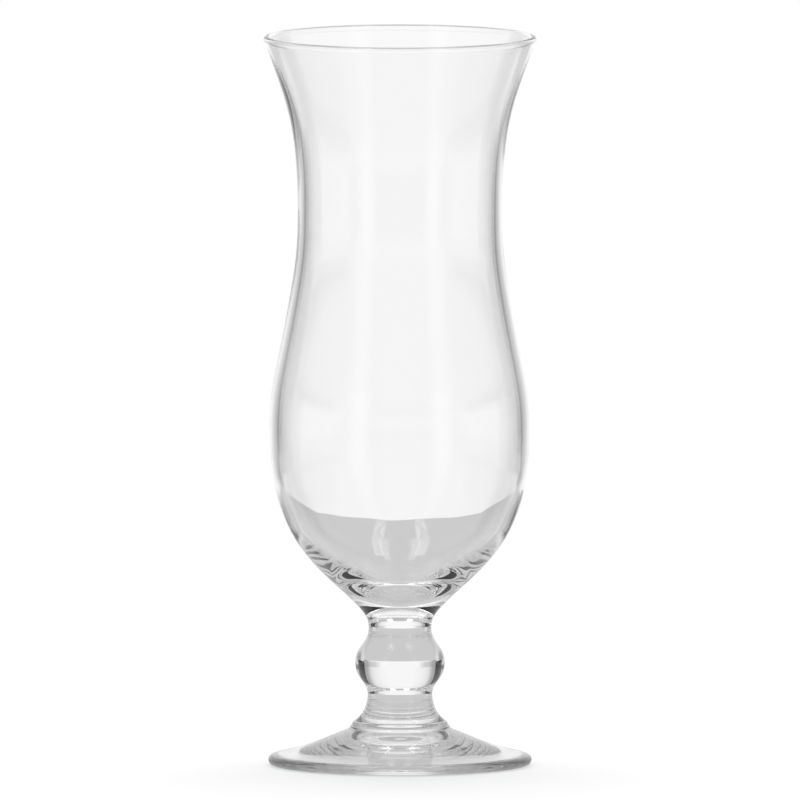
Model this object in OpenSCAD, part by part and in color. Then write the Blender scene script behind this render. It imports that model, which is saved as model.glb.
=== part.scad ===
// Hurricane glass: a blown bowl, a pressed stem with one round knop, and a pressed foot.
// The three gathers of glass are fused hot, end to end, on two flat joint faces.
// Every piece is turned about the Z axis. Z = 0 is the table, and the axis is the middle.
// A profile is a chain of stations that runs down the outside of the glass, or down the
// inside. Between two stations it is one cubic curve, which leaves and arrives along each
// station's lean and is pulled along it by the station's pull lengths. All sizes are in mm.

/* [Rim] */
// Height of the top of the rim above the table
rim_top = 206; // [204:0.5:212]
// Diameter over the fire-polished bead of the rim
rim_d = 77; // [74:0.5:82]
// Radius of the bead's round section
bead_r = 0.95; // [0.8:0.05:1.2]
// Where the outer wall meets the bead, in degrees round its section
bead_seat_outer = -60; // [-70:5:-50]
// Where the inner wall meets the bead, in degrees round its section
bead_seat_inner = 215; // [205:5:225]
// Lean of the flared wall at the rim, in degrees from upright
flare_lean = 18; // [12:1:26]
// Pull of the flare below the rim
flare_pull = 15.5; // [10:0.5:20]

/* [Waist of the bowl] */
// Outside diameter at the waist
waist_d = 57.6; // [54:0.1:60]
// Height of the waist
waist_z = 157; // [152:0.5:162]
// Pull of the curve above the waist
waist_pull_up = 26; // [18:0.5:30]
// Pull of the curve below the waist
waist_pull_down = 11; // [8:0.5:14]
// Wall thickness at the waist
waist_wall = 2.2; // [1.5:0.1:3]

/* [Shoulder of the bowl] */
// Outside diameter at the shoulder, where the wall turns from hollow to full
shoulder_d = 64.4; // [62:0.1:67]
// Height of the shoulder
shoulder_z = 126; // [122:0.5:130]
// Lean of the shoulder, in degrees from upright
shoulder_lean = 10.3; // [8:0.1:13]
// Pull of the curve on both sides of the shoulder
shoulder_pull = 16; // [10:0.5:17]
// Wall thickness at the shoulder
shoulder_wall = 2.5; // [1.8:0.1:3.2]

/* [Belly of the bowl] */
// Outside diameter at the belly
belly_d = 73.6; // [71:0.1:78]
// Height of the belly's widest ring
belly_z = 95.5; // [92:0.5:99]
// Pull of the curve above the belly
belly_pull_up = 10.8; // [8:0.1:14]
// Pull of the curve below the belly
belly_pull_down = 8.8; // [7:0.1:12]
// Wall thickness at the belly
belly_wall = 2.65; // [2:0.05:3.5]

/* [Hip of the bowl] */
// Outside diameter at the hip, where the belly turns in
hip_d = 62.6; // [60:0.1:65]
// Height of the hip
hip_z = 67; // [65:0.5:69]
// Lean of the hip, in degrees from upright
hip_lean = 26.2; // [23:0.1:30]
// Pull of the curve above the hip
hip_pull_up = 9.9; // [7:0.1:12]
// Pull of the curve below the hip
hip_pull_down = 8.6; // [6:0.1:9.5]
// Wall thickness at the hip
hip_wall = 2.65; // [2.2:0.05:4]
// Lean of the inside wall at the hip, in degrees from upright
in_hip_lean = 28; // [25:0.5:32]
// Pull of the inside curve above the hip
in_hip_pull_up = 11.6; // [8:0.1:12]
// Pull of the inside curve below the hip
in_hip_pull_down = 4.6; // [3:0.1:6]

/* [Bottom of the bowl] */
// Outside diameter half way down the funnel under the hip
funnel_d = 34.4; // [32:0.1:37]
// Height of that ring of the funnel
funnel_z = 50; // [49:0.5:51.5]
// Lean of the funnel there, in degrees from upright
funnel_lean = 47.7; // [44:0.1:51]
// Pull of the curve above that ring
funnel_pull_up = 6.4; // [4:0.1:8]
// Pull of the curve below that ring
funnel_pull_down = 9; // [7:0.1:10]
// Diameter of the ring where the inside wall turns into the floor of the hollow
floor_d = 30.8; // [29:0.1:32]
// Height of that ring
floor_z = 54.3; // [53.5:0.1:55]
// Lean of the inside wall at that ring, in degrees from upright
floor_lean = 55.5; // [53:0.5:58]
// Pull of the inside curve above that ring
floor_pull_up = 8.9; // [7:0.1:10]
// Pull of the inside curve below that ring
floor_pull_down = 2.6; // [2:0.1:4]
// Height of the bottom of the hollow, on the axis
well_z = 48.8; // [48.3:0.1:50]
// Pull of the inside curve beside the axis
well_pull = 5; // [4:0.1:7]

/* [Stem] */
// Diameter of the upper neck, where the stem is fused to the bowl
neck_d = 17.7; // [16:0.1:20]
// Height of the upper neck
neck_z = 38.9; // [38:0.1:40]
// Pull of the curve above the upper neck
neck_pull_up = 3.2; // [2.5:0.1:4]
// Pull of the curve below the upper neck
neck_pull_down = 4.7; // [3.5:0.1:5]
// Diameter of the knop
knop_d = 25.2; // [23:0.1:28]
// Height of the knop's widest ring
knop_z = 28.9; // [28:0.1:30]
// Pull of the curve above the knop
knop_pull_up = 4.9; // [4:0.1:5]
// Pull of the curve below the knop
knop_pull_down = 4.7; // [4:0.1:5]
// Diameter of the lower neck
low_neck_d = 18.2; // [16:0.1:20]
// Height of the lower neck
low_neck_z = 20; // [19.5:0.1:20.5]
// Pull of the curve above the lower neck
low_neck_pull_up = 3.6; // [2.5:0.1:4]
// Pull of the curve below the lower neck
low_neck_pull_down = 2; // [1:0.1:2.5]

/* [Ridge between stem and foot] */
// Diameter of the mould ridge, where the stem is fused to the foot
ridge_d = 26.5; // [25:0.1:28]
// Height of the ridge
ridge_z = 12.3; // [12:0.1:13]
// Lean of the stem as it meets the ridge, in degrees from upright
ridge_lean = 64; // [55:1:70]
// Pull of the stem's curve above the ridge
ridge_pull = 3.5; // [2.5:0.1:4.5]

/* [Foot] */
// Diameter of the foot
foot_d = 74.2; // [70:0.2:82]
// Radius of the foot's rounded edge
foot_edge_r = 1.45; // [1.2:0.05:1.8]
// Diameter of the foot where its collar ends
collar_d = 29.7; // [29:0.1:31]
// Height of the foot where its collar ends
collar_z = 10.1; // [9.6:0.1:10.6]
// Lean of the collar under the ridge, in degrees from upright
collar_lean = 30; // [20:1:36]
// Lean of the foot's top beside the collar, in degrees from upright
foot_lean = 67; // [62:1:70]
// Pull of the foot's top beside the collar
foot_pull_in = 14; // [8:0.5:16]
// Lean of the foot's top as it meets the rounded edge, in degrees from upright
foot_edge_lean = 77; // [72:1:84]
// Pull of the foot's top beside the rounded edge
foot_pull_out = 7.4; // [4:0.2:9]

/* [Under the foot] */
// Width of the flat ring that the glass rests on
sole_w = 1.7; // [1.5:0.1:3]
// Slope of the hollow beside the resting ring, in degrees from level
sole_slope = 10; // [7:0.5:12]
// Pull of the hollow's curve beside the resting ring
sole_pull = 3.5; // [2.5:0.1:5]
// Diameter of the ring half way across the hollow
hollow_d = 34.6; // [32:0.2:37]
// Height of the hollow at that ring
hollow_z = 3.7; // [3:0.1:4]
// Slope of the hollow at that ring, in degrees from level
hollow_slope = 7; // [4:0.5:9]
// Pull of the hollow's curve outside that ring
hollow_pull_out = 5.6; // [4:0.1:7]
// Pull of the hollow's curve inside that ring
hollow_pull_in = 3.8; // [3:0.1:5]
// Height of the hollow on the axis, where it dips to a shallow boss
boss_z = 1.4; // [1.2:0.1:2.4]
// Pull of the hollow's curve beside the axis
boss_pull = 5.5; // [4:0.1:7]

/* [Smoothness] */
// Straight steps in each long curve of a profile
curve_steps = 10; // [6:1:24]
// Facets round the axis in a preview
round_fn = 144; // [48:12:288]

/* [Hidden] */
$fn = round_fn;

bead_steps = 16;
edge_steps = 10;
collar_pull = 0.9;

// A station of a profile: [radius, height, lean, pull above, pull below].
// The lean is measured from straight down, and is positive where the glass widens below.
function station(r, z, lean, above, below) = [r, z, lean, above, below];
function at(s) = [s[0], s[1]];
function heading(s) = [sin(s[2]), -cos(s[2])];
function outward(s) = [cos(s[2]), sin(s[2])];

// The same station on the inside of a wall of the given thickness
function inside(s, wall, above, below) =
    let (p = at(s) - wall * outward(s)) station(p[0], p[1], s[2], above, below);

// Cubic curve through its two end points a and d, with the handles b and c
function cubic(a, b, c, d, t) =
    pow(1 - t, 3) * a + 3 * pow(1 - t, 2) * t * b + 3 * (1 - t) * t * t * c + pow(t, 3) * d;

// The curve from one station to the next, without its first point
function span(s, e, steps = curve_steps) =
    let (b = at(s) + s[4] * heading(s), c = at(e) - e[3] * heading(e))
    [for (i = [1:steps]) cubic(at(s), b, c, at(e), i / steps)];

// The whole run of curves through a list of stations
function run(stations) =
    [at(stations[0]), for (i = [0:len(stations) - 2]) each span(stations[i], stations[i + 1])];

// Points on a circle's arc, from angle a to angle b
function arc(centre, r, a, b, steps) =
    [for (i = [0:steps]) let (w = a + (b - a) * i / steps) centre + r * [cos(w), sin(w)]];

function on_bead(w) = bead_centre + bead_r * [cos(w), sin(w)];

bead_centre = [rim_d / 2 - bead_r, rim_top - bead_r];
outer_mouth = on_bead(bead_seat_outer);
inner_mouth = on_bead(bead_seat_inner);

// Stations down the outside of the bowl and the stem
mouth = station(outer_mouth[0], outer_mouth[1], -flare_lean, 0, flare_pull);
waist = station(waist_d / 2, waist_z, 0, waist_pull_up, waist_pull_down);
shoulder = station(shoulder_d / 2, shoulder_z, shoulder_lean, shoulder_pull, shoulder_pull);
belly = station(belly_d / 2, belly_z, 0, belly_pull_up, belly_pull_down);
hip = station(hip_d / 2, hip_z, -hip_lean, hip_pull_up, hip_pull_down);
funnel = station(funnel_d / 2, funnel_z, -funnel_lean, funnel_pull_up, funnel_pull_down);
neck = station(neck_d / 2, neck_z, 0, neck_pull_up, neck_pull_down);
knop = station(knop_d / 2, knop_z, 0, knop_pull_up, knop_pull_down);
low_neck = station(low_neck_d / 2, low_neck_z, 0, low_neck_pull_up, low_neck_pull_down);
ridge = station(ridge_d / 2, ridge_z, ridge_lean, ridge_pull, 0);

// Stations down the inside of the bowl
in_mouth = station(inner_mouth[0], inner_mouth[1], -flare_lean, 0, flare_pull);
in_waist = inside(waist, waist_wall, waist_pull_up, waist_pull_down);
in_shoulder = inside(shoulder, shoulder_wall, shoulder_pull, shoulder_pull);
in_belly = inside(belly, belly_wall, belly_pull_up, belly_pull_down);
in_hip_at = at(hip) - hip_wall * outward(hip);
in_hip = station(in_hip_at[0], in_hip_at[1], -in_hip_lean, in_hip_pull_up, in_hip_pull_down);
floor_ring = station(floor_d / 2, floor_z, -floor_lean, floor_pull_up, floor_pull_down);
well = station(0, well_z, -90, well_pull, 0);

// Stations over the top of the foot, and its rounded edge
collar_top = station(ridge_d / 2, ridge_z, collar_lean, 0, collar_pull);
collar_end = station(collar_d / 2, collar_z, foot_lean, collar_pull, foot_pull_in);
edge_centre = [foot_d / 2 - foot_edge_r, foot_edge_r];
edge_start = edge_centre + foot_edge_r * [cos(foot_edge_lean), sin(foot_edge_lean)];
edge_top = station(edge_start[0], edge_start[1], foot_edge_lean, foot_pull_out, 0);

// Stations under the foot, from the resting ring to the axis
sole_ring = station(edge_centre[0] - sole_w, 0, -90 - sole_slope, 0, sole_pull);
hollow = station(hollow_d / 2, hollow_z, -90 - hollow_slope, hollow_pull_out, hollow_pull_in);
boss = station(0, boss_z, -90, boss_pull, 0);

// A closed profile turned about the axis
module turned(profile) {
    rotate_extrude() polygon(profile);
}

// The bowl: outer wall, solid bottom, hollow, inner wall and the bead of the rim
module bowl() {
    outer = run([mouth, waist, shoulder, belly, hip, funnel, neck]);
    inner = run([in_mouth, in_waist, in_shoulder, in_belly, in_hip, floor_ring, well]);
    inner_up = [for (i = [len(inner) - 1:-1:0]) inner[i]];
    bead = arc(bead_centre, bead_r, bead_seat_inner, bead_seat_outer, bead_steps);
    bead_free = [for (i = [1:bead_steps - 1]) bead[i]];
    color([0.88, 0.92, 0.92, 0.45]) turned(concat(outer, [[0, neck_z]], inner_up, bead_free));
}

// The stem: a solid baluster from the upper neck over the knop to the ridge
module stem() {
    color([0.84, 0.89, 0.90, 0.6]) turned(concat(
        run([neck, knop, low_neck, ridge]), [[0, ridge_z], [0, neck_z]]));
}

// The foot: collar, sloped top, rounded edge, resting ring and the shallow hollow below, with
// a low boss left in its middle
module foot() {
    edge = arc(edge_centre, foot_edge_r, foot_edge_lean, -90, edge_steps);
    edge_free = [for (i = [1:edge_steps]) edge[i]];
    color([0.80, 0.87, 0.88, 0.6]) turned(concat(
        run([collar_top, collar_end, edge_top]), edge_free, run([sole_ring, hollow, boss]),
        [[0, ridge_z]]));
}

bowl();
stem();
foot();
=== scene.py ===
# %% [markdown]
# # A hurricane glass, dressed around its CAD frame
#
# A hurricane glass is a tall stemmed cocktail glass. Three gathers of hot glass make it: a bowl
# that is blown in a mould, a short stem with one round knop, and a foot. The stem and the foot
# are pressed in moulds, and the three are fused end to end while they are hot.
#
# The CAD model already holds the size and the shape of these pieces. This script gives them
# their looks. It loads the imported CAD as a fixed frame, works out finer surfaces from the same
# sizes, and lights them the way a photographer lights clear glass.

# %% The frame
import math

import bpy
import numpy as np
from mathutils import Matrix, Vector


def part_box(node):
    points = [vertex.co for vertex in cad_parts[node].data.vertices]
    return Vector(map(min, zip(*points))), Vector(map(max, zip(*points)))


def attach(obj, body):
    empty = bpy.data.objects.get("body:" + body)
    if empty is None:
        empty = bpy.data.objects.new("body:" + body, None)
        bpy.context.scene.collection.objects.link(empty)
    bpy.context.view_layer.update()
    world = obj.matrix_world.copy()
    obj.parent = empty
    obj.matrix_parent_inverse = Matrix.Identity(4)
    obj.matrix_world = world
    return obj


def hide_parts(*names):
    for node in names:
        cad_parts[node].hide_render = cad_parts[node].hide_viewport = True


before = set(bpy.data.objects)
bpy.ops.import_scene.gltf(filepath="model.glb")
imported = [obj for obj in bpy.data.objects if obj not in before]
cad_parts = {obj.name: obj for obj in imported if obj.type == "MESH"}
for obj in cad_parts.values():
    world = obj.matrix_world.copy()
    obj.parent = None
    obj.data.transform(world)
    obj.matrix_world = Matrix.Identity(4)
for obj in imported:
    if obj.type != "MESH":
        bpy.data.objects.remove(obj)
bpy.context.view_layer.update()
boxes = {name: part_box(name) for name in ("bowl", "stem", "foot")}
for name, (low, high) in boxes.items():
    print(name, "from", [round(v * 1000, 1) for v in low], "to", [round(v * 1000, 1) for v in high])

# %% [markdown]
# ## Lines that describe turned glass
#
# Everything on this glass is round, so each surface is one line, turned about the Z axis. A
# line could be traced as hundreds of points. A glassmaker's mould drawing does it with a few
# rings instead: how wide the glass is there, how high, and how far the wall leans. So a line
# here is a chain of such stations, and a cubic curve joins each to the next. Few numbers are
# easy to change, and a cubic that leaves and arrives along the wall's lean has no kinks.
#
# Glass bends light by the direction of its surface. That is why the line also carries its exact
# heading, worked out from the formula: a direction guessed from neighbouring points would show
# as rings in the stem.

# %% Stations and cubic curves
MM = 0.001
STEPS = 26


def station(radius, height, lean, above, below):
    """One ring of the glass in mm. Lean is in degrees from straight down, positive where the
    glass widens below. Above and below are how far the curve is pulled along the lean."""
    slope = math.radians(lean)
    return {
        "at": np.array([radius, height], float),
        "heading": np.array([math.sin(slope), -math.cos(slope)]),
        "outward": np.array([math.cos(slope), math.sin(slope)]),
        "lean": lean,
        "above": above,
        "below": below,
    }


def inside(ring, wall, above, below, lean=None):
    """The station on the inner face of a wall: the ring's place, moved back by the wall. It
    keeps the ring's lean unless another is given."""
    place = ring["at"] - wall * ring["outward"]
    return station(place[0], place[1], ring["lean"] if lean is None else lean, above, below)


def chain(stations, steps=STEPS):
    """Points and unit headings along a chain of stations, as two arrays of (radius, height).

    From a to d the point at t is the cubic (1-t)^3 a + 3(1-t)^2 t b + 3(1-t) t^2 c + t^3 d, with
    the handle b below a and the handle c above d. Its heading is the cubic's derivative."""
    t = (np.arange(steps) / steps)[:, None]
    points, headings = [], []
    for start, end in zip(stations[:-1], stations[1:]):
        a, d = start["at"], end["at"]
        b = a + start["below"] * start["heading"]
        c = d - end["above"] * end["heading"]
        points.append((1 - t) ** 3 * a + 3 * (1 - t) ** 2 * t * b + 3 * (1 - t) * t**2 * c + t**3 * d)
        headings.append((1 - t) ** 2 * (b - a) + 2 * (1 - t) * t * (c - b) + t**2 * (d - c))
        if start["below"] == 0:
            headings[-1][0] = start["heading"]
    points.append(stations[-1]["at"][None])
    headings.append(stations[-1]["heading"][None])
    points, headings = np.concatenate(points), np.concatenate(headings)
    return points, headings / np.linalg.norm(headings, axis=1, keepdims=True)


def arc(centre, radius, start, end, steps):
    """Points and unit headings along a circle's arc, from one angle to another, in degrees."""
    angle = np.radians(np.linspace(start, end, steps + 1))
    side = 1 if end > start else -1
    points = np.array(centre) + radius * np.stack([np.cos(angle), np.sin(angle)], 1)
    return points, side * np.stack([-np.sin(angle), np.cos(angle)], 1)


def walked(points):
    """How far along the line each point is, in mm."""
    return np.concatenate([[0], np.cumsum(np.linalg.norm(np.diff(points, axis=0), axis=1))])


def turn_round(line):
    """The same line, travelled from its other end."""
    points, headings = line
    return points[::-1], -headings[::-1]


def level(start, end, height, steps):
    """A level line from one radius to another, for the flat faces."""
    points = np.stack([np.linspace(start, end, steps + 1), np.full(steps + 1, float(height))], 1)
    side = 1.0 if end > start else -1.0
    return points, np.tile([side, 0.0], (steps + 1, 1))


# %% [markdown]
# ## The rings of this glass
#
# These are the stations of the CAD model, in millimetres, from the rim down. The outermost
# sizes come from the frame itself, less a hair, so the finer surfaces can't grow past it.
#
# The rim is a bead: fire-polishing melts the cut edge of the wall, and the melt draws itself
# round. The walls meet the bead in a crease at an angle on each side.

# %% Stations of the bowl, the stem and the foot
HAIR = 0.02
rim_radius = min(boxes["bowl"][1][0], boxes["bowl"][1][1]) / MM - HAIR
rim_height = boxes["bowl"][1][2] / MM
foot_radius = min(boxes["foot"][1][0], boxes["foot"][1][1]) / MM - HAIR
neck_height = boxes["bowl"][0][2] / MM
ridge_height = boxes["foot"][1][2] / MM

BEAD_RADIUS = 0.95
BEAD_OUTER, BEAD_INNER = -60, 215
FLARE_LEAN, FLARE_PULL = -18, 15.5
EDGE_RADIUS, EDGE_LEAN = 1.45, 77
SOLE_WIDTH = 1.7
bead_centre = np.array([rim_radius - BEAD_RADIUS, rim_height - BEAD_RADIUS])
edge_centre = np.array([foot_radius - EDGE_RADIUS, EDGE_RADIUS])


def on_circle(centre, radius, angle):
    """The point of a circle at this angle in degrees."""
    turn = math.radians(angle)
    return centre + radius * np.array([math.cos(turn), math.sin(turn)])


# Each station: radius, height, lean, pull above, pull below. Each inner one: ring, wall, pulls.
mouth = station(*on_circle(bead_centre, BEAD_RADIUS, BEAD_OUTER), FLARE_LEAN, 0, FLARE_PULL)
waist = station(28.8, 157, 0, 26, 11)
shoulder = station(32.2, 126, 10.3, 16, 16)
belly = station(36.8, 95.5, 0, 10.8, 8.8)
hip = station(31.3, 67, -26.2, 9.9, 8.6)
funnel = station(17.2, 50, -47.7, 6.4, 9)
neck = station(8.85, neck_height, 0, 3.2, 4.7)
knop = station(12.6, 28.9, 0, 4.9, 4.7)
low_neck = station(9.1, 20, 0, 3.6, 2)
ridge = station(13.25, ridge_height, 64, 3.5, 0)

in_mouth = station(*on_circle(bead_centre, BEAD_RADIUS, BEAD_INNER), FLARE_LEAN, 0, FLARE_PULL)
in_waist = inside(waist, 2.2, 26, 11)
in_shoulder = inside(shoulder, 2.5, 16, 16)
in_belly = inside(belly, 2.65, 10.8, 8.8)
in_hip = inside(hip, 2.65, 11.6, 4.6, lean=-28)
floor_ring = station(15.4, 54.3, -55.5, 8.9, 2.6)
well = station(0, 48.8, -90, 5, 0)

collar_top = station(13.25, ridge_height, 30, 0, 0.9)
collar_end = station(14.85, 10.1, 67, 0.9, 14)
edge_top = station(*on_circle(edge_centre, EDGE_RADIUS, EDGE_LEAN), EDGE_LEAN, 7.4, 0)
sole_ring = station(edge_centre[0] - SOLE_WIDTH, 0, -100, 0, 3.5)
hollow_ring = station(17.3, 3.7, -97, 5.6, 3.8)
sole_middle = station(0, 1.4, -90, 5.5, 0)
print("rim", round(rim_radius, 2), "foot", round(foot_radius, 2), "neck at", round(neck_height, 1))

# %% [markdown]
# ## From a line to a closed surface
#
# A piece is a list of sections, each a line, a finish and a ripple. Its outline starts on the
# axis, goes round the glass and comes back to the axis, so the turned surface is closed. Where
# two sections meet, they share one ring of vertices and keep their own normals: that is how a
# crease stays crisp, such as the one under the rim's bead, while the walls stay perfectly smooth.

# %% Turning one section
AROUND = 256
LEAST_RADIUS = 0.05
GLASS, JOINT = 0, 1
angles = 2 * math.pi * np.arange(AROUND) / AROUND


def ripple_free(angle, points):
    """No ripple: a moulded face follows its line exactly."""
    return np.zeros((len(points), len(angle)))


def surface(points, headings, ripple):
    """The turned surface of one line in mm and its unit normals, as arrays (point, angle, xyz).

    The point (i, j) is the line's point i at the angle j: (r cos a, r sin a, z), moved along the
    line's normal by the ripple. The surface's normal is the line's own, tilted by the ripple's
    slope along the line and round the axis."""
    out = np.stack([headings[:, 1], -headings[:, 0]], 1)
    height = ripple(angles, points)
    along = np.gradient(height, walked(points), axis=0)
    step = np.maximum(points[:, :1], LEAST_RADIUS) * (angles[1] - angles[0])
    across = (np.roll(height, -1, 1) - np.roll(height, 1, 1)) / (2 * step)
    cosine, sine = np.cos(angles), np.sin(angles)
    radius = points[:, :1] + height * out[:, :1]
    z = points[:, 1:] + height * out[:, 1:]
    grid = np.stack([radius * cosine, radius * sine, z + 0 * radius], 2)
    flat_r = out[:, :1] - along * headings[:, :1]
    flat_z = out[:, 1:] - along * headings[:, 1:]
    normal = np.stack([flat_r * cosine + across * sine, flat_r * sine - across * cosine, flat_z], 2)
    return grid, normal / np.linalg.norm(normal, axis=2, keepdims=True)


def ring_faces(count):
    """The four corners of each face between this many rings. A corner is a pair: its ring, and
    its place on that ring."""
    i, j = np.meshgrid(np.arange(count - 1), np.arange(AROUND), indexing="ij")
    k = (j + 1) % AROUND
    corners = [np.stack(pair, 2) for pair in ((i, j), (i, k), (i + 1, k), (i + 1, j))]
    return np.stack(corners, 2).reshape(-1, 4, 2)


# %% Closing a piece
def turned(name, sections, materials):
    """A closed mesh from sections (points, headings, material number, ripple).

    The sections' rings are stacked, and each ring that two sections share is kept once. The
    first ring and the last are points of the axis, so each becomes one vertex, and the faces
    that reach it lose a corner and are triangles."""
    rings, faces, corner_normals, face_material = [], [], [], []
    first = 0
    for points, headings, material, ripple in sections:
        grid, normal = surface(points, headings, ripple)
        corners = ring_faces(len(points))
        ring, around = corners[..., 0], corners[..., 1]
        faces.append((ring + first) * AROUND + around)
        corner_normals.append(normal[ring, around])
        face_material.append(np.full(len(corners), material))
        rings.append(grid if first == 0 else grid[1:])
        first += len(points) - 1
    grid = np.concatenate(rings).reshape(-1, 3) * MM
    faces, corner_normals = np.concatenate(faces), np.concatenate(corner_normals)
    face_material = np.concatenate(face_material)

    # New numbers for the vertices, with one for all of the first ring and one for the last
    last_ring = len(grid) // AROUND - 1
    number = np.arange(len(grid)) - (AROUND - 1)
    number[:AROUND] = 0
    number[last_ring * AROUND:] = (last_ring - 1) * AROUND + 1
    place = np.zeros((number.max() + 1, 3))
    place[number] = grid
    place[[0, -1], :2] = 0
    corner_of = number[faces]
    kept = np.ones(faces.shape, bool)
    kept[:, 1] = corner_of[:, 1] != corner_of[:, 0]
    kept[:, 3] = corner_of[:, 3] != corner_of[:, 2]
    sizes = kept.sum(1)
    starts = np.concatenate([[0], np.cumsum(sizes)[:-1]])

    mesh = bpy.data.meshes.new(name)
    mesh.vertices.add(len(place))
    mesh.vertices.foreach_set("co", place.ravel())
    mesh.loops.add(int(sizes.sum()))
    mesh.loops.foreach_set("vertex_index", corner_of[kept].astype(np.int32))
    mesh.polygons.add(len(faces))
    mesh.polygons.foreach_set("loop_start", starts.astype(np.int32))
    mesh.polygons.foreach_set("material_index", face_material.astype(np.int32))
    mesh.update(calc_edges=True)
    mesh.shade_smooth()
    mesh.normals_split_custom_set(corner_normals[kept].astype(np.float32))
    for material in materials:
        mesh.materials.append(material)
    piece = bpy.data.objects.new(name, mesh)
    bpy.context.scene.collection.objects.link(piece)
    print(name, len(place), "vertices,", int((sizes - 2).sum()), "triangles")
    return piece


# %% [markdown]
# ## Glass
#
# Soda-lime glass is clear with the faintest green, bends light with an index of about 1.52, and
# fire-polishing leaves it with no roughness at all. So nearly all of its looks come from its
# shape and from what stands round it, and the shader stays simple.
#
# Iron in the sand gives the glass its green, and it swallows a little of the light on the way.
# The longer the way, the more is lost: hardly any in the thin blown wall, more in the solid
# stem, and most in the foot, where light runs for centimetres between the faces. A volume would
# say so exactly, but it would break at the fused joints, where one mesh ends and the next
# begins. So each face takes its share instead, as a thin mix of a dark green-grey.
#
# Light that reaches the table through real glass draws a bright, busy caustic. A path tracer is
# slow at finding it. Here rays from the lamp go straight through, a little dimmer where the
# glass is seen edge on, which gives the soft pale shadow of a glass.

# %% Helpers for materials
def linear(code):
    """An sRGB hex colour as linear light: below 0.04045 the value over 12.92, and above it
    ((value + 0.055) / 1.055) to the power 2.4."""
    values = np.array([int(code[i:i + 2], 16) / 255 for i in (1, 3, 5)])
    low, high = values / 12.92, ((values + 0.055) / 1.055) ** 2.4
    return (*np.where(values <= 0.04045, low, high).tolist(), 1.0)


def add(tree, kind, inputs=None, **settings):
    """Adds a node with its settings. An input that is a socket is linked, any other is set."""
    node = tree.nodes.new(kind)
    for name, value in settings.items():
        setattr(node, name, value)
    for name, value in (inputs or {}).items():
        if isinstance(value, bpy.types.NodeSocket):
            tree.links.new(value, node.inputs[name])
        else:
            node.inputs[name].default_value = value
    return node


def new_material(name):
    """An empty node material."""
    material = bpy.data.materials.new(name)
    material.use_nodes = True
    material.node_tree.nodes.clear()
    return material


# %% Soda-lime glass
SODA_LIME_IOR = 1.52
IRON_GREEN = "#1C2A1E"
SHADOW_FACING, SHADOW_EDGE_ON, SHADOW_BLEND = "#F4F7F6", "#7F8785", 0.35
# Share of the light that each face takes
BLOWN_LOSS, STEM_LOSS, FOOT_LOSS = 0.004, 0.017, 0.045


def soda_lime_glass(name, loss):
    """Fire-polished soda-lime glass that swallows this share of the light at each face."""
    material = new_material(name)
    tree = material.node_tree
    clear = add(tree, "ShaderNodeBsdfPrincipled", {
        "Base Color": linear("#FFFFFF"),
        "Roughness": 0.0,
        "IOR": SODA_LIME_IOR,
        "Transmission Weight": 1.0,
    })
    dark = add(tree, "ShaderNodeBsdfDiffuse", {"Color": linear(IRON_GREEN)})
    body = add(tree, "ShaderNodeMixShader", {0: loss, 1: clear.outputs[0], 2: dark.outputs[0]})
    edge = add(tree, "ShaderNodeLayerWeight", {"Blend": SHADOW_BLEND})
    shade = add(tree, "ShaderNodeMix", {
        "Factor": edge.outputs["Facing"],
        "A": linear(SHADOW_FACING),
        "B": linear(SHADOW_EDGE_ON),
    }, data_type="RGBA")
    let_through = add(tree, "ShaderNodeBsdfTransparent", {"Color": shade.outputs["Result"]})
    path = add(tree, "ShaderNodeLightPath")
    surface = add(tree, "ShaderNodeMixShader", {
        0: path.outputs["Is Shadow Ray"],
        1: body.outputs[0],
        2: let_through.outputs[0],
    })
    add(tree, "ShaderNodeOutputMaterial", {"Surface": surface.outputs[0]})
    print(name, "takes", loss, "of the light at each face")
    return material


blown_glass = soda_lime_glass("blown_soda_lime_glass", BLOWN_LOSS)
pressed_glass = soda_lime_glass("pressed_soda_lime_glass", STEM_LOSS)
thick_glass = soda_lime_glass("thick_pressed_soda_lime_glass", FOOT_LOSS)

# %% [markdown]
# ## The fused joints
#
# Where two hot gathers meet they become one glass, and light crosses the joint without bending.
# Two separate glass meshes that touch would bend it twice and mirror it. So the faces of a
# joint get a finish of their own, which lets every ray straight through.

# %% Fused joint
JOINT_STEPS = 8
fused_joint = new_material("fused_joint")
clear = add(fused_joint.node_tree, "ShaderNodeBsdfTransparent", {"Color": (1, 1, 1, 1)})
add(fused_joint.node_tree, "ShaderNodeOutputMaterial", {"Surface": clear.outputs[0]})

# %% [markdown]
# ## The bowl
#
# The bowl is blown. Air presses the glass against the mould outside, so the outer face is true.
# The inner face touches nothing, and it keeps slow waves where the gather was a little thicker.
# One finer wave sits in the solid bottom, which is thick and cools last.

# %% Bowl
# Times round the axis, size in mm, turn per mm of height, phase
WAVES = (
    (2, 0.020, 0.010, 0.3),
    (3, 0.018, -0.020, 1.9),
    (5, 0.012, 0.030, 4.0),
    (8, 0.008, -0.050, 2.6),
    (13, 0.004, 0.070, 0.8),
)
BOTTOM_WAVE = (9, 0.012, 0.50, 1.0)
# Heights and lengths in mm
BOTTOM_WAVE_TOP, BOTTOM_WAVE_FADE = 72, 10
WAVE_END_FADE = 12
BEAD_STEPS = 30


def wave(angle, z, count, size, twist, phase):
    """size x cos(count x angle + twist x z + phase): a wave round the axis that turns slowly
    with height."""
    return size * np.cos(count * angle[None] + twist * z + phase)


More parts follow.
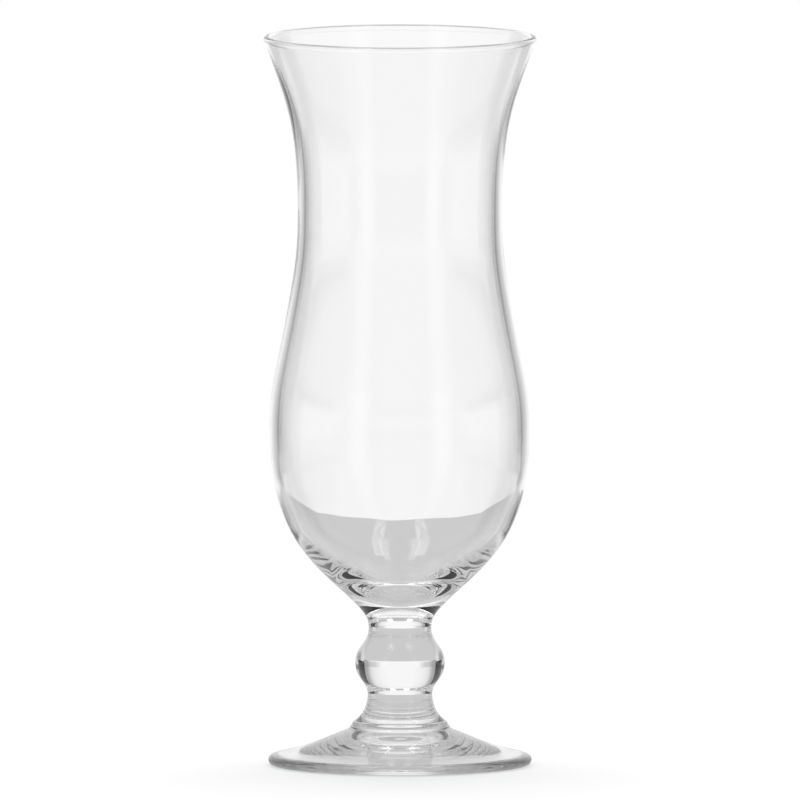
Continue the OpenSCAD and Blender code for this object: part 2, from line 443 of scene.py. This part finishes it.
def blown_waves(angle, points):
    """Slow waves of the free inner face, in mm: the sum of WAVES, and the finer one where the
    bottom is solid. They fade out at both ends of the line."""
    z = points[:, 1:]
    total = np.zeros((len(points), len(angle)))
    for numbers in WAVES:
        total += wave(angle, z, *numbers)
    away = walked(points)[:, None]
    in_bottom = np.clip((BOTTOM_WAVE_TOP - z) / BOTTOM_WAVE_FADE, 0, 1)
    total += in_bottom * wave(angle, z, *BOTTOM_WAVE)
    ends = np.clip(np.minimum(away, away[-1] - away) / WAVE_END_FADE, 0, 1)
    return total * ends**2 * (3 - 2 * ends)


bowl_outside = turn_round(chain([mouth, waist, shoulder, belly, hip, funnel, neck]))
bowl_inside = chain([in_mouth, in_waist, in_shoulder, in_belly, in_hip, floor_ring, well])
rim_bead = arc(bead_centre, BEAD_RADIUS, BEAD_OUTER, BEAD_INNER, BEAD_STEPS)
bowl = turned("bowl_glass", [
    (*level(0, neck["at"][0], neck_height, JOINT_STEPS), JOINT, ripple_free),
    (*bowl_outside, GLASS, ripple_free),
    (*rim_bead, GLASS, ripple_free),
    (*bowl_inside, GLASS, blown_waves),
], [blown_glass, fused_joint])
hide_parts("bowl")
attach(bowl, "root")

# %% [markdown]
# ## The stem
#
# The stem is a solid baluster: a neck, one round knop, a lower neck, and a skirt that spreads to
# the mould's parting ridge. The knop works as a ball lens: it shows the room behind it upside
# down, so the grey table is at its top and the white backdrop at its bottom. Both ends of the
# stem are fused joints.

# %% Stem
STEM_STEPS = 40
stem_side = turn_round(chain([neck, knop, low_neck, ridge], STEM_STEPS))
stem = turned("stem_glass", [
    (*level(0, ridge["at"][0], ridge_height, JOINT_STEPS), JOINT, ripple_free),
    (*stem_side, GLASS, ripple_free),
    (*level(neck["at"][0], 0, neck_height, JOINT_STEPS), JOINT, ripple_free),
], [pressed_glass, fused_joint])
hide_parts("stem")
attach(stem, "root")

# %% [markdown]
# ## The foot
#
# The foot is pressed: a collar under the ridge, a sloped top and a rounded edge. It rests on a
# narrow ring, so that it stands firm on a table that isn't quite flat. Inside the ring the
# plunger leaves a shallow hollow with a low boss in the middle.

# %% Foot
SOLE_STEPS, EDGE_STEPS, RING_STEPS = 30, 20, 4
foot_top = turn_round(chain([collar_top, collar_end, edge_top]))
foot_edge = arc(edge_centre, EDGE_RADIUS, -90, EDGE_LEAN, EDGE_STEPS)
sole = turn_round(chain([sole_ring, hollow_ring, sole_middle], SOLE_STEPS))
foot = turned("foot_glass", [
    (*sole, GLASS, ripple_free),
    (*level(edge_centre[0] - SOLE_WIDTH, edge_centre[0], 0, RING_STEPS), GLASS, ripple_free),
    (*foot_edge, GLASS, ripple_free),
    (*foot_top, GLASS, ripple_free),
    (*level(ridge["at"][0], 0, ridge_height, JOINT_STEPS), JOINT, ripple_free),
], [thick_glass, fused_joint])
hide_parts("foot")
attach(foot, "root")

# %% [markdown]
# ## The studio
#
# Clear glass shows only what stands round it. Photographers call this set bright field: a white
# backdrop straight behind, black cards at both sides of it, and a pale grey table. The glass
# bends the black cards into its edges, and so its outline is drawn in dark lines.
#
# - The backdrop fades towards its sides, as a lit sheet does. The nearer a wall of the bowl is
#   to the outline, the further aside it looks, so the walls darken smoothly.
# - The cards give the dark line inside each wall and the dark marks in the knop.
# - Past the cards a low dark skirting runs round the room. The solid bottom of the bowl shows it
#   as dark crescents.
# - The table ends behind the glass, and the floor past it is white. Seen through the bowl, that
#   edge is the top of the grey arc in its lower part.
# - Two long lamps hang overhead. The back of the bowl's bottom mirrors them as two pale streaks.
# - Two tall strips stand beside the camera and light the walls from the front.
#
# The camera itself sees plain white all round. What the glass sees is written by direction, so
# that it is the same for every camera.

# %% Edges and tones of the set
# Each edge is a place and the width of the soft band round it. A pair of edges shares one width.
# Degrees aside from straight behind the glass:
BACKDROP_SIDE = (42.4, 1.0)
CARD_SIDE = (63, 3)
ROOM_SIDE = (118, 6)
STRIP_SIDES = (133, 149, 12)
# Painted shade on the table beside the cards:
PAINTED_SHADE_SIDES = (51, 120, 10)
# A strip of painted light on the table next to the cards:
PAINTED_LIGHT_SIDES = (41, 49, 4)
# Degrees above level:
BACKDROP_TOP = (50, 14)
CARD_TOP = (28, 12)
STRIP_TOP = (62, 10)
SKIRTING_FOOT, SKIRTING_TOP, SKIRTING_SOFT = 3.2, 8, 2
LOW_EDGE = (2.5, 3)
# Degrees from straight overhead, to the sides and to the front and the back:
OVERHEAD_SIDES = (12.5, 21.5, 2)
OVERHEAD_END = (22.5, 4)
# Metres from the glass, on the table and on the floor:
TABLE_END = (0.388, 0.006)
FAR_FLOOR = (0.56, 0.16)
CARD_FOOT = (0.62, 0.2)
# Where the painted shade on the table begins:
PAINTED_SHADE_START = (0.16, 0.14)
# Where the painted light on the table begins:
PAINTED_LIGHT_START = (0.09, 0.06)
# Degrees aside and the tone there, for the backdrop and for the floor in front of it. In the
# world they are the set's light falling off aside; on the floor past the table's end the same
# tones are painted fall-off of light:
BACKDROP_FADE = (
    (12, 1.0), (20, 0.94), (26, 0.88), (30, 0.8), (33, 0.64), (36.3, 0.44), (39, 0.37), (43, 0.34),
)
FLOOR_FADE = ((17, 1.0), (21, 0.8), (24, 0.66), (30, 0.6), (34, 0.45), (37, 0.36), (43, 0.34))
TONES = {
    "card": 0.005,
    "above_card": 0.65,
    "skirting": 0.03,
    "room": 0.5,
    "strip": 0.85,
    "overhead": 3.5,
    "table": 0.62,
    # painted shade on the table beside the cards
    "painted_side_shade": 0.38,
    "side_floor": 0.66,
    # painted light on the table next to the cards
    "painted_gap_light": 0.78,
    "lamp_sky": 0.55,
}
print(len(TONES), "tones, cards from", BACKDROP_SIDE[0], "to", CARD_SIDE[0], "degrees aside")


# %% Helpers for the set
def maths(tree, operation, a, b=0.0):
    """A math node on two sockets or values."""
    return add(tree, "ShaderNodeMath", {0: a, 1: b}, operation=operation).outputs[0]


def step_at(tree, value, edge, soft):
    """0 below the edge and 1 above it, over a soft band of this width."""
    return add(tree, "ShaderNodeMapRange", {
        "Value": value, "From Min": edge - soft / 2, "From Max": edge + soft / 2,
    }, interpolation_type="SMOOTHSTEP").outputs[0]


def below(tree, value, edge, soft):
    """1 below the edge and 0 above it."""
    return maths(tree, "SUBTRACT", 1.0, step_at(tree, value, edge, soft))


def between(tree, value, low, high, soft):
    """1 between two edges, and 0 outside them."""
    return maths(tree, "SUBTRACT", step_at(tree, value, low, soft), step_at(tree, value, high, soft))


def both(tree, a, b):
    """The share where both shares hold."""
    return maths(tree, "MULTIPLY", a, b)


def blend(tree, share, a, b):
    """a where the share is 0, and b where it is 1."""
    return add(tree, "ShaderNodeMix", {"Factor": share, 2: a, 3: b}, data_type="FLOAT").outputs[0]


def fade(tree, value, stops):
    """A tone that runs evenly from stop to stop, each stop a pair (value, tone)."""
    last = stops[-1][0]
    ramp = add(tree, "ShaderNodeValToRGB", {0: maths(tree, "DIVIDE", value, last)})
    points = ramp.color_ramp.elements
    while len(points) < len(stops):
        points.new(1.0)
    for point, (at, tone) in zip(points, stops):
        point.position = at / last
        point.color = (tone, tone, tone, 1.0)
    return ramp.outputs["Color"]


def degrees(tree, a, b):
    """The angle whose tangent is a over b, in degrees, without its sign."""
    angle = maths(tree, "ABSOLUTE", maths(tree, "ARCTAN2", a, b))
    return maths(tree, "MULTIPLY", angle, 180 / math.pi)


def seen_by_glass(tree, camera_shader, glass_shader, other_shader):
    """One shader for the camera, one for what glass mirrors and bends, and one for the rest."""
    path = add(tree, "ShaderNodeLightPath")
    by_glass = maths(tree, "MAXIMUM", path.outputs["Is Glossy Ray"], path.outputs["Is Transmission Ray"])
    rest = add(tree, "ShaderNodeMixShader", {0: by_glass, 1: other_shader, 2: glass_shader})
    return add(tree, "ShaderNodeMixShader", {
        0: path.outputs["Is Camera Ray"], 1: rest.outputs[0], 2: camera_shader,
    }).outputs[0]


# %% [markdown]
# ## The room, written on the world
#
# The room is far away, so only a ray's direction matters: how far aside from straight behind the
# glass, and how far above level. Each part of the set is laid over the one before it.

# %% The world
world = bpy.data.worlds.new("studio")
bpy.context.scene.world = world
world.use_nodes = True
tree = world.node_tree
tree.nodes.clear()
axes = add(tree, "ShaderNodeSeparateXYZ", {0: add(tree, "ShaderNodeTexCoord").outputs["Generated"]})
x, y, z = axes.outputs
aside = degrees(tree, x, y)
upward = degrees(tree, z, add(tree, "ShaderNodeVectorMath", {
    0: add(tree, "ShaderNodeCombineXYZ", {0: x, 1: y}).outputs[0],
}, operation="LENGTH").outputs["Value"])

low = below(tree, upward, *LOW_EDGE)
tone = blend(tree, low, fade(tree, aside, BACKDROP_FADE), fade(tree, aside, FLOOR_FADE))
tone = blend(tree, step_at(tree, upward, *BACKDROP_TOP), tone, TONES["room"])
card = blend(tree, step_at(tree, upward, *CARD_TOP), TONES["card"], TONES["above_card"])
tone = blend(tree, step_at(tree, aside, *BACKDROP_SIDE), tone, card)
foot_of_room = below(tree, upward, SKIRTING_FOOT, SKIRTING_SOFT)
side = blend(tree, foot_of_room, TONES["room"], TONES["side_floor"])
skirting = both(
    tree,
    between(tree, upward, SKIRTING_FOOT, SKIRTING_TOP, SKIRTING_SOFT),
    below(tree, aside, *ROOM_SIDE),
)
side = blend(tree, skirting, side, TONES["skirting"])
tone = blend(tree, step_at(tree, aside, *CARD_SIDE), tone, side)
strip = both(tree, between(tree, aside, *STRIP_SIDES), below(tree, upward, *STRIP_TOP))
tone = blend(tree, strip, tone, TONES["strip"])
overhead = both(
    tree,
    between(tree, degrees(tree, x, z), *OVERHEAD_SIDES),
    below(tree, degrees(tree, y, z), *OVERHEAD_END),
)
tone = blend(tree, overhead, tone, TONES["overhead"])

white = add(tree, "ShaderNodeBackground", {"Color": (1, 1, 1, 1), "Strength": 1.0})
lamp_sky = add(tree, "ShaderNodeBackground", {"Color": (1, 1, 1, 1), "Strength": TONES["lamp_sky"]})
round_glass = add(tree, "ShaderNodeBackground", {"Color": tone, "Strength": 1.0})
shown = seen_by_glass(tree, white.outputs[0], round_glass.outputs[0], lamp_sky.outputs[0])
add(tree, "ShaderNodeOutputWorld", {"Surface": shown})
print("world of", len(tree.nodes), "nodes")

# %% [markdown]
# ## The table and the floor
#
# One large sheet is both. What the glass sees in it goes by the distance from the glass and by
# the angle aside: a grey table, painted shade on it beside the cards with a strip of painted
# light next to them, and past the table's end the floor in front of the backdrop, the cards and
# the room, where the floor darkens aside as painted fall-off of light.
#
# The camera sees a matt white table near the glass, which keeps the glass's shadow, and plain
# white further out, so that the table runs into the backdrop without a line.

# %% The table
FLOOR_HALF = 12.0
FLOOR_DROP = 0.0002
SHADOW_FADE = (0.04, 0.5)
MATT_WHITE, MATT_GREY = "#FBFBFB", "#D8DAD9"
corner = FLOOR_HALF * np.array([[-1, -1, 0], [1, -1, 0], [1, 1, 0], [-1, 1, 0]])
floor_mesh = bpy.data.meshes.new("table_top")
floor_mesh.from_pydata(corner.tolist(), [], [(0, 1, 2, 3)])
floor = bpy.data.objects.new("table_top", floor_mesh)
floor.location = (0, 0, -FLOOR_DROP)
bpy.context.scene.collection.objects.link(floor)

table = new_material("pale_matt_table")
tree = table.node_tree
where = add(tree, "ShaderNodeTexCoord").outputs["Object"]
distance = add(tree, "ShaderNodeVectorMath", {0: where}, operation="LENGTH").outputs["Value"]
axes = add(tree, "ShaderNodeSeparateXYZ", {0: where})
aside = degrees(tree, axes.outputs["X"], axes.outputs["Y"])

# Painted shade on the table beside the cards.
painted_shade_share = both(
    tree, between(tree, aside, *PAINTED_SHADE_SIDES), step_at(tree, distance, *PAINTED_SHADE_START))
near = blend(tree, painted_shade_share, TONES["table"], TONES["painted_side_shade"])
# A strip of painted light on the table next to the cards.
painted_light_share = both(tree, between(tree, aside, *PAINTED_LIGHT_SIDES), step_at(tree, distance, *PAINTED_LIGHT_START))
near = blend(tree, painted_light_share, near, TONES["painted_gap_light"])

side = blend(tree, step_at(tree, aside, *CARD_SIDE), TONES["card"], TONES["side_floor"])
side = blend(tree, step_at(tree, aside, *ROOM_SIDE), side, TONES["room"])
side = blend(tree, step_at(tree, distance, *CARD_FOOT), near, side)
# Past the table's end the floor darkens aside: painted fall-off of the set's light.
far = step_at(tree, distance, *FAR_FLOOR)
beyond = blend(tree, far, fade(tree, aside, BACKDROP_FADE), fade(tree, aside, FLOOR_FADE))
beyond = blend(tree, step_at(tree, aside, *BACKDROP_SIDE), beyond, side)
beyond = blend(tree, between(tree, aside, *STRIP_SIDES), beyond, TONES["strip"])
tone = blend(tree, step_at(tree, distance, *TABLE_END), near, beyond)
to_glass = add(tree, "ShaderNodeEmission", {"Color": tone, "Strength": 1.0})

fading = add(tree, "ShaderNodeMapRange", {
    "Value": distance, "From Min": SHADOW_FADE[0], "From Max": SHADOW_FADE[1],
    "To Min": 0.5, "To Max": 1.0,
}, interpolation_type="SMOOTHSTEP").outputs[0]
matt = add(tree, "ShaderNodeBsdfDiffuse", {"Color": linear(MATT_WHITE)})
lit = add(tree, "ShaderNodeEmission", {"Color": (1, 1, 1, 1), "Strength": 1.0})
to_camera = add(tree, "ShaderNodeMixShader", {0: fading, 1: matt.outputs[0], 2: lit.outputs[0]})
plain = add(tree, "ShaderNodeBsdfDiffuse", {"Color": linear(MATT_GREY)})
shown = seen_by_glass(tree, to_camera.outputs[0], to_glass.outputs[0], plain.outputs[0])
add(tree, "ShaderNodeOutputMaterial", {"Surface": shown})
floor_mesh.materials.append(table)
print("table of", len(tree.nodes), "nodes")


# %% [markdown]
# ## The lamp
#
# One large soft lamp hangs above and behind the glass, and draws its soft shadow towards the
# camera. The camera and the glass don't see it: the overhead strips of the set stand for it
# there, because a bare square lamp would show as one white patch in the bottom of the bowl.

# %% Lamp
AIM_AT = np.array([0, 0, 0.1])


def softbox(name, azimuth, elevation, distance, width, height, power):
    """A rectangular area lamp at this direction from the glass, aimed at its middle."""
    a, e = math.radians(azimuth), math.radians(elevation)
    towards = np.array([math.sin(a) * math.cos(e), math.cos(a) * math.cos(e), math.sin(e)])
    lamp = bpy.data.lights.new(name, "AREA")
    lamp.shape = "RECTANGLE"
    lamp.size, lamp.size_y, lamp.energy = width, height, power
    holder = bpy.data.objects.new(name, lamp)
    holder.location = AIM_AT + towards * distance
    holder.rotation_mode = "QUATERNION"
    holder.rotation_quaternion = Vector(towards).to_track_quat("Z", "Y")
    holder.visible_camera = False
    holder.visible_glossy = False
    holder.visible_transmission = False
    bpy.context.scene.collection.objects.link(holder)
    print(name, power, "W at", [round(v, 2) for v in holder.location], "m")


softbox("overhead_softbox", azimuth=0, elevation=72, distance=1.6, width=1.2, height=1.2, power=22)

# %% [markdown]
# ## The camera
#
# The photograph was taken from far away, five degrees above level, so parallel rays match it.

# %% Camera
PHOTO_SIDE = 800
PIXELS_PER_MM = 3.5495
AIM_HEIGHT = 103.05
VIEW_DOWN = math.radians(5)
CAMERA_AWAY = 2.0
FAR_CLIP = 20.0
camera_data = bpy.data.cameras.new("camera")
camera_data.type = "ORTHO"
camera_data.ortho_scale = PHOTO_SIDE / PIXELS_PER_MM * MM
camera_data.clip_end = FAR_CLIP
camera = bpy.data.objects.new("camera", camera_data)
camera.location = (
    0,
    -CAMERA_AWAY * math.cos(VIEW_DOWN),
    AIM_HEIGHT * MM + CAMERA_AWAY * math.sin(VIEW_DOWN),
)
camera.rotation_euler = (math.pi / 2 - VIEW_DOWN, 0, 0)
bpy.context.scene.collection.objects.link(camera)
bpy.context.scene.camera = camera
print("camera sees", round(camera_data.ortho_scale / MM, 1), "mm across")

# %% [markdown]
# ## How the picture is worked out
#
# A ray may cross the bowl's two walls, the stem and the foot, and be mirrored inside them, so
# many bounces are allowed. The view transform is Standard, so white stays white.

# %% Render settings
scene = bpy.context.scene
scene.view_settings.view_transform = "Standard"
scene.cycles.max_bounces = 32
scene.cycles.transmission_bounces = 32
scene.cycles.glossy_bounces = 24
scene.cycles.transparent_max_bounces = 48
scene.cycles.caustics_reflective = False
scene.cycles.caustics_refractive = False
scene.cycles.blur_glossy = 0.0
scene.cycles.use_denoising = True
